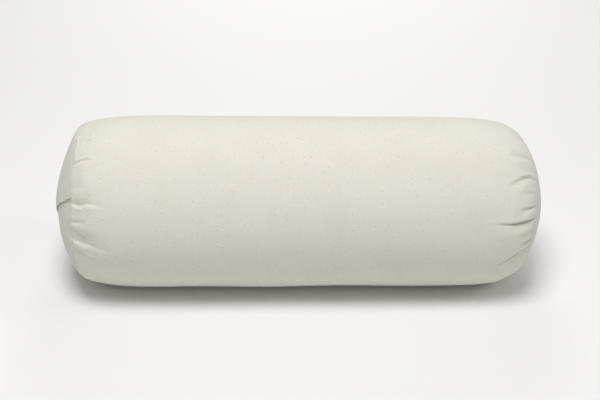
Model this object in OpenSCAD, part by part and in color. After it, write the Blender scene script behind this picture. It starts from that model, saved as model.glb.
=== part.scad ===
// Round bolster pillow: a sewn cotton cover with an envelope mouth at one end, holding an
// inner pillow of fibre in a zipped case.
// The body lies along X and rests on z = 0, with the origin under its middle. The mouth is
// at the -X end. Every cloth panel is its own shell, with its seam allowance turned inside.

/* [Body] */
// Length from the crown of one end to the crown of the other
body_length = 654; // [480:2:840]
// Diameter of the round body
body_diameter = 230; // [180:5:290]
// How far the body is pressed flat where it rests
foot_depth = 5; // [3:0.5:8]

/* [Ends] */
// How far each end bulges beyond its seam
crown_height = 30; // [24:1:42]
// How far the end seam is drawn in from the body's radius
seam_draw = 18; // [12:1:24]
// Distance over which that draw fades away along the body
draw_fade = 21; // [15:1:28]

/* [Cloth] */
// Thickness of the cover's canvas
cover_cloth = 0.8; // [0.5:0.05:1]
// Thickness of the inner case's muslin
case_cloth = 0.4; // [0.3:0.05:0.6]
// Width of cloth turned inside along each seam
seam_allowance = 10; // [6:1:14]
// Clearance between two plies of cloth
ply_gap = 0.05; // [0.04:0.01:0.08]

/* [Envelope mouth] */
// Roll of the mouth about the body's axis, away from upright
mouth_roll = 42; // [0:1:60]
// How far the outer flap's edge lies below the middle of the end
mouth_drop = 16; // [5:1:25]
// How far the two flaps overlap
flap_overlap = 65; // [45:1:80]
// Width of the hem turned under along each flap's edge
hem_width = 13; // [9:1:18]

/* [Stitching] */
// Length from one stitch to the next
stitch_pitch = 3.6; // [2.5:0.1:5]
// Share of that length that the thread shows
stitch_share = 0.8; // [0.6:0.05:0.9]
// Diameter of the thread
thread_diameter = 0.5; // [0.3:0.05:0.7]

/* [Care label] */
// Width of the label along the end seam
label_width = 44; // [25:1:55]
// How far the label reaches from the end seam
label_reach = 24; // [14:1:34]
// Thickness of the label
label_thickness = 0.25; // [0.15:0.05:0.4]
// Place of the label round the end, up from the front
label_angle = 69; // [60:1:110]

/* [Zip] */
// Length of the row of teeth across the inner case's end
zip_length = 110; // [80:5:130]
// Room left at the mouth end for the slider and its pull
mouth_slack = 12; // [10:0.5:14]
// Width of each zip tape
tape_width = 12; // [9:1:15]
// Thickness of each zip tape
tape_thickness = 0.4; // [0.3:0.05:0.6]
// Distance from one tooth to the next on a tape
tooth_pitch = 2.5; // [2:0.1:3.5]
// Width of one tooth across the zip
tooth_width = 2.5; // [2:0.1:3.5]
// Height of one tooth
tooth_height = 2; // [1.6:0.1:2.4]
// Length of the slider
slider_length = 11; // [8:0.5:14]
// Thickness of each of the slider's two plates
plate_thickness = 0.8; // [0.6:0.05:1]
// Length of the slider's pull, from its pin
pull_length = 14; // [11:0.5:17]
// Width of the pull
pull_width = 5; // [4:0.5:7]
// Thickness of the pull
pull_thickness = 0.8; // [0.6:0.05:1]
// How far the pull leans down from level, to lie on the slider
pull_lean = 4; // [2:0.5:5]
// Diameter of the pin that the pull swings on
pin_diameter = 1; // [0.8:0.05:1.2]
// Clearance round the pin and between the slider and the teeth
zip_clearance = 0.15; // [0.1:0.01:0.2]

/* [Hidden] */
$fn = 96;

canvas = "#e6e2d8";
muslin = "#efe9dc";
thread = "#d9d2c0";

body_radius = body_diameter / 2;
// Height of the body's axis above what it rests on
axis_height = body_radius - foot_depth;
// Larger than the whole part, for cutting it in two
far = 2 * (body_length + body_diameter);
shoulder_steps = 18;
crown_steps = 18;
// Length of body over which the shoulder's curve is drawn
shoulder_length = 5 * draw_fade;
radial_thread = thread_diameter / 2;

// A shape is one sewn layer: [radius, draw, seam x, crown height]. The last two may differ
// between its ends.
function radius(s) = s[0];
function draw(s) = s[1];
function seam_x(s) = s[2];
function crown(s) = s[3];
function ring(s) = radius(s) - draw(s);

// Point u along the body from the end seam, sunk k below the layer's surface
function slope(s, u) = draw(s) / draw_fade * exp(-u / draw_fade);
function shoulder(s, u, k = 0) =
    let (m = slope(s, u), n = sqrt(1 + m * m))
    [radius(s) - draw(s) * exp(-u / draw_fade) - k / n, seam_x(s) - u - k * m / n];

// The crown is part of a sphere through the end seam
function sphere(s) = (ring(s) * ring(s) + crown(s) * crown(s)) / (2 * crown(s));
function sphere_x(s) = seam_x(s) + crown(s) - sphere(s);
function crown_point(s, a, k = 0) =
    [(sphere(s) - k) * sin(a), sphere_x(s) + (sphere(s) - k) * cos(a)];
function crown_angle(s, r, k = 0) = asin(r / (sphere(s) - k));

// The same layer sunk by k along the body and its seam, and by crown_k at its crown
function inset(s, k, crown_k) =
    let (m = slope(s, 0), n = sqrt(1 + m * m))
    [radius(s) - k, draw(s) - k * (1 - 1 / n), seam_x(s) - k * m / n,
     crown(s) - crown_k + k * m / n];

cover = [body_radius, seam_draw, body_length / 2 - crown_height, crown_height];
// Depths of the plies that are stacked inside the end seam
turned_tube = 2 * cover_cloth;
outer_skirt = turned_tube + ply_gap;
inner_skirt = outer_skirt + cover_cloth + ply_gap;
stack_depth = inner_skirt + cover_cloth;
// The label lies under the stack, and the mouth end's thread under the label
label_depth = stack_depth + ply_gap;
mouth_thread_depth = label_depth + label_thickness + ply_gap + radial_thread;
// The inner flap lies under the outer flap and its turned hem
inner_flap_depth = 2 * cover_cloth + ply_gap;
flaps_depth = inner_flap_depth + 2 * cover_cloth;

// The inner case lies clear of the stack and its thread
case_depth = mouth_thread_depth + radial_thread + 3 * ply_gap;
case_closed = inset(cover, case_depth, case_depth);
case_mouth = inset(cover, case_depth, flaps_depth + mouth_slack);

case_turned = 2 * case_cloth;
case_skirt = case_turned + ply_gap;
case_stack = case_skirt + case_cloth;
case_thread_depth = case_stack + ply_gap + radial_thread;
tape_depth = case_cloth + ply_gap;
tape_middle = tape_depth + tape_thickness / 2;

// The slider: a plate over the teeth and one under them, joined by a web between the rows
// at its wide end
web_thickness = 1;
web_length = 4;
row_gap = web_thickness + 2 * zip_clearance;
row_edge = row_gap / 2 + tooth_width;
channel_half = tooth_height / 2 + 2 * zip_clearance;
slider_half_height = channel_half + plate_thickness;
flange_thickness = 0.9;
slider_half_width = row_edge + 2 * zip_clearance + flange_thickness;
slot_half = slider_half_width + 2 * zip_clearance;
// The flanges leave a slot that the tapes run out through
tape_slot_half = tape_thickness / 2 + 2 * zip_clearance;
stop_length = 3;
// The teeth grip the tape's edge this deep
tape_grip = 1;

zip_radius = sphere(case_mouth) - tape_middle;
zip_x = -sphere_x(case_mouth);
half_zip_angle = zip_length / 2 / zip_radius * 180 / PI;
function zip_angle(length) = length / zip_radius * 180 / PI;
slider_rest = half_zip_angle - zip_angle(slider_length / 2 + 3 * zip_clearance);

eye_wall = 0.5;
eye_radius = pin_diameter / 2 + zip_clearance + eye_wall;
pin_height = slider_half_height + zip_clearance + eye_radius;
// The pin sits back from the slider's middle, towards the closed end
pin_setback = slider_length / 2 - eye_radius - 1;
ear_thickness = 0.8;
eye_half_width = 1.1;
ear_inner = eye_half_width + zip_clearance;

// The filling clears the case's turned seams and the slider's lower plate
fill_depth = case_depth + case_thread_depth + radial_thread + 3 * ply_gap;
fill_closed = inset(cover, fill_depth, fill_depth);
zip_room = tape_middle + slider_half_height + 3 * zip_clearance;
// Where the filling's mouth face ends: this far from its seam, with its corner cut back
fill_edge_start = 2;
fill_edge_cut = 4;

// ---- building blocks -------------------------------------------------------------------

// Turns an outline of [radius, x] points about the body's axis
module turn() {
    rotate([0, 90, 0])
        rotate_extrude()
            children();
}

module turn_outline(points) {
    turn()
        polygon(points);
}

// Everything above the height that a layer sunk by k rests at
module above_foot(k) {
    translate([-far / 2, -far / 2, k - axis_height])
        cube(far);
}

// The band of space between two heights in the frame of the body's axis
module between(low, high) {
    translate([-far / 2, -far / 2, low])
        cube([far, far, high - low]);
}

// Points of the body's surface sunk by k, from u0 to mid-body, seam first
function half_body(s, k, u0) = concat(
    [for (i = [0:shoulder_steps])
        let (t = i / shoulder_steps)
        shoulder(s, u0 + (shoulder_length - u0) * t * t, k)],
    [[radius(s) - k, 0]]
);

function flipped(points) = [for (i = [len(points) - 1:-1:0]) [points[i][0], -points[i][1]]];

// A whole half outline and its mirror image, closed along the axis
module closed_body(half, k) {
    intersection() {
        turn_outline(concat([[0, half[0][1]]], half, flipped(half), [[0, -half[0][1]]]));
        above_foot(k);
    }
}

// The sewn tube of one layer: a wall of cloth, doubled where it is turned in at each end
module sewn_tube(s, sunk, cloth) {
    start = shoulder(s, ply_gap);
    fold = shoulder(s, ply_gap, 2 * cloth);
    inner_edge = shoulder(s, seam_allowance, 2 * cloth);
    inner = concat(
        [[fold[0], start[1] + cloth]],
        [for (i = [0:4]) shoulder(s, ply_gap + (seam_allowance - ply_gap) * i / 4, 2 * cloth)],
        half_body(s, cloth, seam_allowance)
    );
    difference() {
        closed_body(concat([fold], half_body(s, 0, ply_gap)), sunk);
        closed_body(inner, sunk + cloth);
    }
}

// One round end: a crown of cloth sunk by k, whose edge is turned inside under the tube's.
// skirt is how deep the turned edge lies, and rim_radius is where the crown meets it.
module sewn_end(s, cloth, k, skirt, rim_radius) {
    rim = crown_angle(s, rim_radius, k);
    inner_rim = crown_angle(s, shoulder(s, 0, skirt + cloth)[0], k + cloth);
    turn_outline(concat(
        [for (i = [0:crown_steps]) crown_point(s, rim * i / crown_steps, k)],
        [for (i = [0:4]) shoulder(s, seam_allowance * i / 4, skirt)],
        [for (i = [4:-1:0]) shoulder(s, seam_allowance * i / 4, skirt + cloth)],
        [for (i = [crown_steps:-1:0]) crown_point(s, inner_rim * i / crown_steps, k + cloth)]
    ));
}

// A hem's turned ply stops this far short of the end seam's stack
hem_clearance = 3;

// The ply of hem turned under a crown whose inner face is sunk by k. It starts a little
// inside that face, so that the two plies are one piece of cloth.
module crown_ply(s, k, cloth) {
    reach = crown_angle(s, shoulder(s, 0, 2 * cloth)[0] - hem_clearance, k + cloth);
    turn_outline(concat(
        [for (i = [0:crown_steps]) crown_point(s, reach * i / crown_steps, k - ply_gap)],
        [for (i = [crown_steps:-1:0]) crown_point(s, reach * i / crown_steps, k + cloth)]
    ));
}

// The mouth end is the mirror image of the closed end, with the flaps' frame rolled about
// the body's axis
module at_mouth() {
    rotate([-mouth_roll, 0, 0])
        mirror([1, 0, 0])
            children();
}

module on_axis() {
    translate([0, 0, axis_height])
        children();
}

// A seam's thread runs this far in from the seam
seam_row = 2;

// Stitches round the body at the point p = [radius, x], as short arcs of thread
module ring_stitches(p) {
    count = round(2 * PI * p[0] / stitch_pitch);
    turn_by = 360 / count;
    translate([p[1], 0, 0])
        rotate([0, 90, 0])
            for (i = [0:count - 1])
                rotate([0, 0, i * turn_by])
                    rotate_extrude(angle = turn_by * stitch_share, $fn = 24)
                        translate([p[0], 0])
                            circle(r = radial_thread, $fn = 16);
}

// The arc that a hem's thread follows: the crown of sphere radius r about sphere_x, cut at
// height h, drawn round the body's far side up to the end seam
function hem_arc_radius(r, h) = sqrt(r * r - h * h);
function hem_arc_half(s, r, h) =
    asin(sqrt(pow(ring(s) - 2 * hem_clearance, 2) - h * h) / hem_arc_radius(r, h));

// The groove for a hem's thread runs this many degrees past the thread at each end
groove_overrun = 0.5;

module hem_groove(s, r, h) {
    half = hem_arc_half(s, r, h) + groove_overrun;
    translate([sphere_x(s), 0, h])
        rotate([0, 0, -half])
            rotate_extrude(angle = 2 * half)
                translate([hem_arc_radius(r, h), 0])
                    circle(r = radial_thread + ply_gap, $fn = 16);
}

module hem_stitches(s, r, h) {
    half = hem_arc_half(s, r, h);
    arc = hem_arc_radius(r, h);
    count = floor(2 * half * PI / 180 * arc / stitch_pitch);
    step = 2 * half / count;
    translate([sphere_x(s), 0, h])
        for (i = [0:count - 1])
            rotate([0, 0, -half + (i + (1 - stitch_share) / 2) * step])
                rotate_extrude(angle = step * stitch_share)
                    translate([arc, 0])
                        circle(r = radial_thread, $fn = 16);
}

// ---- cover -----------------------------------------------------------------------------

inner_flap_edge = flap_overlap - mouth_drop;
// The hem's row of stitches lies a little inside the turned edge
hem_row = hem_width - 2;
// Thread lies sunk in the cloth, with a little of it proud
thread_proud = 0.1;
thread_sink = radial_thread - thread_proud;
outer_thread_radius = sphere(cover) - thread_sink;
inner_thread_radius = sphere(cover) - inner_flap_depth - thread_sink;
// The long seam meets the end seam where the mouth's far corner is
long_seam_roll = -90 - mouth_roll;
long_seam_gap = 0.4;

module long_seam_strip(width, low, high) {
    intersection() {
        difference() {
            closed_body(half_body(cover, low, seam_allowance + 1), 0);
            closed_body(half_body(cover, high, seam_allowance), 0);
        }
        rotate([long_seam_roll, 0, 0])
            translate([-far / 2, -width / 2, 0])
                cube([far, width, far]);
    }
}

module cover_tube() {
    color(canvas)
        on_axis() {
            difference() {
                sewn_tube(cover, 0, cover_cloth);
                // The line where the two edges of the panel meet
                long_seam_strip(long_seam_gap, -cover_cloth, cover_cloth / 2);
            }
            // The panel's two edges, turned in and pressed open
            long_seam_strip(2 * seam_allowance, cover_cloth, 2 * cover_cloth);
        }
}

module cover_end_panel() {
    color(canvas)
        on_axis()
            sewn_end(cover, cover_cloth, 0, outer_skirt, ring(cover));
}

module mouth_outer_flap() {
    color(canvas)
        on_axis()
            at_mouth()
                difference() {
                    union() {
                        intersection() {
                            sewn_end(cover, cover_cloth, 0, outer_skirt, ring(cover));
                            between(-mouth_drop, far / 2);
                        }
                        intersection() {
                            crown_ply(cover, cover_cloth, cover_cloth);
                            between(-mouth_drop, hem_width - mouth_drop);
                        }
                    }
                    hem_groove(cover, outer_thread_radius, hem_row - mouth_drop);
                }
}

module mouth_inner_flap() {
    rim_radius = shoulder(cover, 0, inner_skirt - ply_gap)[0] - ply_gap;
    color(canvas)
        on_axis()
            at_mouth()
                difference() {
                    union() {
                        intersection() {
                            sewn_end(cover, cover_cloth, inner_flap_depth, inner_skirt,
                                     rim_radius);
                            between(-far / 2, inner_flap_edge);
                        }
                        intersection() {
                            crown_ply(cover, inner_flap_depth + cover_cloth, cover_cloth);
                            between(inner_flap_edge - hem_width, inner_flap_edge);
                        }
                    }
                    hem_groove(cover, inner_thread_radius, inner_flap_edge - hem_row);
                }
}

// Depth of the label at u from the seam: under the stack, then up against the tube's cloth
label_start = 1;
label_rise = 7;
label_steps = 14;
function label_sink(u) =
    let (t = min(1, max(0, (u - seam_allowance - 1) / label_rise)))
    label_depth + (cover_cloth + ply_gap - label_depth) * t * t * (3 - 2 * t);
function label_line(i, k) =
    let (u = label_start + (label_reach - label_start) * i / label_steps)
    shoulder(cover, u, label_sink(u) + k);
module care_label() {
    color("white")
        on_axis()
            rotate([-label_angle, 0, 0])
                mirror([1, 0, 0])
                    intersection() {
                        turn_outline(concat(
                            [for (i = [0:label_steps]) label_line(i, 0)],
                            [for (i = [label_steps:-1:0]) label_line(i, label_thickness)]
                        ));
                        translate([0, -far / 2, -label_width / 2])
                            cube([far, far / 2, label_width]);
                    }
}

module mouth_end_stitches() {
    color(thread)
        on_axis()
            mirror([1, 0, 0])
                ring_stitches(shoulder(cover, seam_row, mouth_thread_depth));
}

module closed_end_stitches() {
    color(thread)
        on_axis()
            ring_stitches(shoulder(cover, seam_row, inner_skirt + radial_thread));
}

module long_seam_stitches() {
    depth = 2 * cover_cloth + 3 * ply_gap + radial_thread;
    reach = seam_x(cover) - seam_allowance - stitch_pitch;
    count = floor(2 * reach / stitch_pitch);
    color(thread)
        on_axis()
            rotate([long_seam_roll, 0, 0])
                for (i = [0:count - 1]) {
                    x = -reach + (i + 0.5) * stitch_pitch;
                    u = seam_x(cover) - abs(x);
                    p = shoulder(cover, u, depth);
                    translate([sign(x) * p[1], 0, p[0]])
                        rotate([0, 90 + sign(x) * atan(slope(cover, u)), 0])
                            cylinder(r = radial_thread, h = stitch_pitch * stitch_share,
                                     center = true, $fn = 16);
                }
}

module outer_hem_stitches() {
    color(thread)
        on_axis()
            at_mouth()
                hem_stitches(cover, outer_thread_radius, hem_row - mouth_drop);
}

module inner_hem_stitches() {
    color(thread)
        on_axis()
            at_mouth()
                hem_stitches(cover, inner_thread_radius, inner_flap_edge - hem_row);
}

// ---- inner case ------------------------------------------------------------------------

module case_tube() {
    color(muslin)
        on_axis()
            sewn_tube(case_closed, case_depth, case_cloth);
}

module case_end_panel() {
    color(muslin)
        on_axis()
            sewn_end(case_closed, case_cloth, 0, case_skirt, ring(case_closed));
}

// Room past each stop in the case's slot
slot_end_gap = 1;

// One half of the case's mouth end, with the zip's slot along its straight edge
module case_half_panel(side) {
    slot_length = zip_length + 2 * stop_length + 2 * slot_end_gap;
    color(muslin)
        on_axis()
            mirror([1, 0, 0])
                difference() {
                    intersection() {
                        sewn_end(case_mouth, case_cloth, 0, case_skirt, ring(case_mouth));
                        scale([1, side, 1])
                            translate([0, ply_gap / 2, -far / 2])
                                cube(far);
                    }
                    translate([0, -slot_half, -slot_length / 2])
                        cube([far, 2 * slot_half, slot_length]);
                }
}

module case_front_panel() {
    case_half_panel(-1);
}

module case_rear_panel() {
    case_half_panel(1);
}

// Each end seam of the case is closed by one unbroken thread
module case_seam_thread(s) {
    turn()
        translate(shoulder(s, seam_row, case_thread_depth))
            circle(r = radial_thread, $fn = 16);
}

module case_end_stitches() {
    color(thread)
        on_axis() {
            case_seam_thread(case_closed);
            mirror([1, 0, 0])
                case_seam_thread(case_mouth);
        }
}

// ---- zip across the case's mouth end ---------------------------------------------------

// Puts something at an angle up the zip's arc, with +Z outwards, +X up the arc and +Y
// towards the back
module on_zip(angle) {
    translate([zip_x, 0, axis_height])
        rotate([0, angle, 0])
            translate([-zip_radius, 0, 0])
                rotate([0, -90, 0])
                    children();
}

module zip_tape(side) {
    length = zip_length + 2 * stop_length;
    rim = crown_angle(case_mouth, length / 2 + tape_width, tape_depth);
    color("ivory")
        on_axis()
            mirror([1, 0, 0])
                intersection() {
                    turn_outline(concat(
                        [for (i = [0:crown_steps])
                            crown_point(case_mouth, rim * i / crown_steps, tape_depth)],
                        [for (i = [crown_steps:-1:0])
                            crown_point(case_mouth, rim * i / crown_steps,
                                        tape_depth + tape_thickness)]
                    ));
                    scale([1, side, 1])
                        translate([0, row_edge - tape_grip, -length / 2])
                            cube([far, tape_width + tape_grip - row_edge, length]);
                }
}

module zip_front_tape() {
    zip_tape(-1);
}

module zip_rear_tape() {
    zip_tape(1);
}

// A row of thread along each side of the case's slot, holding it to the tape
module zip_tape_stitches() {
    row = slot_half + seam_row;
    over_case = sphere(case_mouth) + ply_gap + radial_thread;
    arc = sqrt(over_case * over_case - row * row);
    count = floor(zip_length / stitch_pitch);
    step = zip_angle(stitch_pitch);
    color(thread)
        translate([zip_x, 0, axis_height])
            for (side = [-1, 1])
                for (i = [0:count - 1])
                    translate([0, side * row, 0])
                        rotate([-90, 180 + (i - count / 2) * step, 0])
                            rotate_extrude(angle = step * stitch_share, $fn = 24)
                                translate([arc, 0])
                                    circle(r = radial_thread, $fn = 16);
}

// The space that a tape's edge takes in a tooth or a stop, on one side of the zip
module tape_groove(side, length) {
    scale([1, side, 1])
        translate([-length, row_edge - tape_grip, -tape_thickness / 2 - ply_gap])
            cube([2 * length, 2 * tape_grip, tape_thickness + 2 * ply_gap]);
}

// Share of the pitch that a tooth fills along the tape
tooth_share = 0.55;

module zip_teeth(side, shift) {
    count = floor(zip_length / tooth_pitch);
    tooth_length = tooth_pitch * tooth_share;
    color("dimgray")
        for (i = [0:count - 1])
            on_zip(-half_zip_angle + zip_angle((i + 0.5 + shift) * tooth_pitch))
                difference() {
                    scale([1, side, 1])
                        translate([-tooth_length / 2, row_gap / 2, -tooth_height / 2])
                            cube([tooth_length, tooth_width, tooth_height]);
                    tape_groove(side, tooth_length);
                }
}

module zip_front_teeth() {
    zip_teeth(-1, -0.25);
}

module zip_rear_teeth() {
    zip_teeth(1, 0.25);
}

module zip_stop(angle) {
    color("silver")
        on_zip(angle)
            difference() {
                translate([-stop_length / 2, -row_edge, -tooth_height / 2])
                    cube([stop_length, 2 * row_edge, tooth_height]);
                tape_groove(-1, stop_length);
                tape_groove(1, stop_length);
            }
}

module zip_top_stop() {
    zip_stop(half_zip_angle + zip_angle(stop_length / 2 + zip_clearance));
}

module zip_bottom_stop() {
    zip_stop(-half_zip_angle - zip_angle(stop_length / 2 + zip_clearance));
}

// The lower plate's section, with its flange, right of the middle
plate_section = [
    [0, -slider_half_height],
    [slider_half_width, -slider_half_height],
    [slider_half_width, -tape_slot_half],
    [slider_half_width - flange_thickness, -tape_slot_half],
    [slider_half_width - flange_thickness, -channel_half],
    [0, -channel_half]
];

// Width of the slider's tail as a share of its widest part
tail_share = 0.7;

// Both plates, narrowed from above to a blunt tail
module slider_plates() {
    tail = slider_half_width * tail_share;
    intersection() {
        rotate([90, 0, 90])
            linear_extrude(slider_length, center = true)
                for (x = [0, 1], y = [0, 1])
                    mirror([x, 0])
                        mirror([0, y])
                            polygon(plate_section);
        linear_extrude(4 * slider_half_height, center = true)
            polygon([
                [slider_length / 2, -slider_half_width],
                [slider_length / 2, slider_half_width],
                [0, slider_half_width],
                [-slider_length / 2, tail],
                [-slider_length / 2, -tail],
                [0, -slider_half_width]
            ]);
    }
}

// The two ears that hold the pull's pin
module slider_ears() {
    for (side = [-1, 1])
        translate([pin_setback, side * (ear_inner + ear_thickness / 2), 0])
            rotate([90, 0, 0])
                linear_extrude(ear_thickness, center = true) {
                    translate([0, pin_height])
                        circle(r = eye_radius);
                    translate([-eye_radius, channel_half])
                        square([2 * eye_radius, pin_height - channel_half]);
                }
    translate([pin_setback, 0, pin_height])
        rotate([90, 0, 0])
            cylinder(d = pin_diameter, h = 2 * ear_inner + ear_thickness, center = true);
}

module zip_slider() {
    color("silver")
        on_zip(slider_rest) {
            slider_plates();
            translate([slider_length / 2 - web_length, -web_thickness / 2, -slider_half_height])
                cube([web_length, web_thickness, 2 * slider_half_height]);
            slider_ears();
        }
}

module zip_pull() {
    tip = pull_length - pull_width / 2;
    color("silver")
        on_zip(slider_rest)
            translate([pin_setback, 0, pin_height])
                rotate([0, -pull_lean, 0])
                    difference() {
                        union() {
                            rotate([90, 0, 0])
                                cylinder(r = eye_radius, h = 2 * eye_half_width, center = true);
                            translate([-tip, -eye_half_width, -pull_thickness / 2])
                                cube([tip, 2 * eye_half_width, pull_thickness]);
                            translate([-tip, -pull_width / 2, -pull_thickness / 2])
                                cube([tip / 2, pull_width, pull_thickness]);
                            translate([-tip, 0, -pull_thickness / 2])
                                cylinder(d = pull_width, h = pull_thickness);
                        }
                        rotate([90, 0, 0])
                            cylinder(d = pin_diameter + 2 * zip_clearance, h = 2 * pull_width,
                                     center = true);
                        // The hole at the pull's tip
                        translate([-tip, 0, 0])
                            cylinder(d = pull_width / 2, h = 2 * pull_thickness, center = true);
                    }
}

// ---- filling ---------------------------------------------------------------------------

// The mouth face follows the zip's arc; the other end and the sides follow the cover
module filling() {
    closed_rim = crown_angle(fill_closed, ring(fill_closed));
    closed_half = half_body(fill_closed, 0, 0);
    mouth_half = half_body(fill_closed, 0, fill_edge_start);
    mouth_rim = crown_angle(case_mouth, mouth_half[0][0] - fill_edge_cut, zip_room);
    color("wheat")
        on_axis()
            intersection() {
                turn_outline(concat(
                    [for (i = [0:crown_steps])
                        crown_point(fill_closed, closed_rim * i / crown_steps)],
                    [for (i = [1:len(closed_half) - 1]) closed_half[i]],
                    flipped(concat(
                        [for (i = [0:crown_steps])
                            crown_point(case_mouth, mouth_rim * i / crown_steps, zip_room)],
                        [for (i = [0:len(mouth_half) - 2]) mouth_half[i]]
                    ))
                ));
                above_foot(fill_depth);
            }
}

cover_tube();
cover_end_panel();
mouth_outer_flap();
mouth_inner_flap();
care_label();
mouth_end_stitches();
closed_end_stitches();
long_seam_stitches();
outer_hem_stitches();
inner_hem_stitches();
case_tube();
case_end_panel();
case_front_panel();
case_rear_panel();
case_end_stitches();
zip_front_tape();
zip_rear_tape();
zip_tape_stitches();
zip_front_teeth();
zip_rear_teeth();
zip_top_stop();
zip_bottom_stop();
zip_slider();
zip_pull();
filling();
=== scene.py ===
# %% [markdown]
# # A round bolster pillow
#
# The object is a cotton canvas cover drawn over a zipped inner pillow. The CAD model holds the
# exact, plain shells of every panel; this lesson gives the ones that show their gathers,
# hems, thread and weave. Everything is in metres, in the CAD model's own frame: the pillow lies
# along X, rests on z = 0, and its open mouth is at the -X end.

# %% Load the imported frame
import math

import bmesh
import bpy
import numpy as np
from mathutils import Matrix, Vector


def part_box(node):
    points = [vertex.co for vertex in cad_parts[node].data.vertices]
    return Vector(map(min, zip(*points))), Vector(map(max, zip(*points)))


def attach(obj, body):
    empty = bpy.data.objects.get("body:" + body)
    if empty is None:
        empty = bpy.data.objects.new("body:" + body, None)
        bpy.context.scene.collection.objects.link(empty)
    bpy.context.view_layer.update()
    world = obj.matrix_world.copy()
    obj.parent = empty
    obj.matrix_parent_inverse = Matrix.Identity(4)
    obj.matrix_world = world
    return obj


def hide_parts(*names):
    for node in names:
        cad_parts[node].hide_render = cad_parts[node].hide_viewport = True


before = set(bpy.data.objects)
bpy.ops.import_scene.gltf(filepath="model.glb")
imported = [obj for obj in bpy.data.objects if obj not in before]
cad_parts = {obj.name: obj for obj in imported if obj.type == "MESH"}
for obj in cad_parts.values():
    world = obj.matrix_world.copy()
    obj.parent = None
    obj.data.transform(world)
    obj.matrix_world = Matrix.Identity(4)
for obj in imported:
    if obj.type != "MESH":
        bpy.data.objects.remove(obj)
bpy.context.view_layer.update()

# %% [markdown]
# ## Sizes
#
# A finished piece has to sit where its CAD shell sits, so the main sizes are read from the
# shells' boxes: the tube's box gives the body's radius and the seams' places, and the closed
# end's box gives how far an end bulges. The few sizes that a box can't show, such as how far
# the seam is drawn in and how fast that fades along the body, repeat the CAD model's own values.

# %% Sizes read from the frame
tube_low, tube_high = (np.array(corner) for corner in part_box("cover_tube"))
end_low, end_high = (np.array(corner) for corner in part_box("cover_end_panel"))

BODY_RADIUS = float(tube_high[1] - tube_low[1]) / 2
AXIS_HEIGHT = float(tube_high[2]) - BODY_RADIUS
SEAM_X = float(tube_high[0])
CROWN = float(end_high[0]) - SEAM_X
SEAM_DRAW = 0.018
DRAW_FADE = 0.021
CLOTH = 0.0008
MUSLIN = 0.0004
MOUTH_ROLL = math.radians(42)
LONG_SEAM = MOUTH_ROLL + math.pi
AXIS = np.array([0, 0, AXIS_HEIGHT])
print("radius %.4f  axis height %.4f  seams at %.4f  crown %.4f"
      % (BODY_RADIUS, AXIS_HEIGHT, SEAM_X, CROWN))

# %% [markdown]
# The two ends aren't quite alike. The mouth end is loose, and fuller along its top; the closed end
# was gathered a little harder, so its seam is drawn in further, it bulges less and it hangs a
# little. The CAD model keeps them alike, so these few millimetres are only here.

# %% Shape of each end
CLOSED_DRAW = 0.0075
CLOSED_FADE = 0.027
CLOSED_DROP = 0.003
MOUTH_FULL = 0.0030
CLOSED_LEAN = 0.0012
LEAN_ANGLE = math.radians(112)
LEAN_REACH = 0.020


def end_shape(end):
    """The radius of an end's seam, of the sphere it is part of, and that sphere's middle.

    end is -1 for the mouth and 1 for the closed end."""
    closed = end > 0
    ring = BODY_RADIUS - SEAM_DRAW - closed * CLOSED_DRAW
    crown = CROWN - closed * CLOSED_DROP
    sphere = (ring ** 2 + crown ** 2) / (2 * crown)
    return ring, sphere, SEAM_X + crown - sphere


def plain_radius(x):
    """The tube's radius without any gathers."""
    u = SEAM_X - np.abs(x)
    extra = np.where(x > 0, CLOSED_DRAW * np.exp(-u / CLOSED_FADE), 0)
    return BODY_RADIUS - SEAM_DRAW * np.exp(-u / DRAW_FADE) - extra


def end_lean(angle, end):
    """The mouth end is fuller along its top, and the closed end hangs a little."""
    upward = np.cos(angle - LEAN_ANGLE)
    return MOUTH_FULL * np.clip(upward, 0, 1) if end < 0 else -CLOSED_LEAN * upward


print("seam radius: mouth %.4f, closed end %.4f" % (end_shape(-1)[0], end_shape(1)[0]))


# %% [markdown]
# ## The camera
#
# The camera comes first, because every later choice is judged through it. It stands 1.6 m away,
# a little towards the mouth end and 30 degrees above the pillow, and is rolled so that the
# pillow's long axis lies level.

# %% Place the camera
VIEW_ELEVATION = math.radians(30)
VIEW_TURN = math.radians(4)
VIEW_DISTANCE = 1.6
LENS, SENSOR = 70.8, 36
AIM = (-0.002, 0, AXIS_HEIGHT + 0.0018)



def show(name, data):
    """Puts a mesh, a lamp or a camera in the scene as an object."""
    made = bpy.data.objects.new(name, data)
    bpy.context.scene.collection.objects.link(made)
    return made


camera = show("camera", bpy.data.cameras.new("camera"))
bpy.context.scene.camera = camera
camera.data.lens = LENS
camera.data.sensor_width = SENSOR
towards = np.array([-math.sin(VIEW_TURN) * math.cos(VIEW_ELEVATION),
                    -math.cos(VIEW_TURN) * math.cos(VIEW_ELEVATION), math.sin(VIEW_ELEVATION)])
right = np.array([1.0, 0, 0]) - towards * towards[0]
right /= np.linalg.norm(right)
turned = np.eye(4)
turned[:3, 0], turned[:3, 1], turned[:3, 2] = right, np.cross(towards, right), towards
turned[:3, 3] = np.array(AIM) + towards * VIEW_DISTANCE
camera.matrix_world = Matrix(turned.tolist())
print("camera at", np.round(turned[:3, 3], 3))


# %% [markdown]
# ## Panels of cloth as grids
#
# A woven panel is a grid of threads, so each panel here starts as a grid of points: its UV map
# can then run in metres along the threads. Each cell of the grid becomes one face. A panel that
# runs all the way round is joined to itself, and a round one is closed by a point at its middle.

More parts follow.
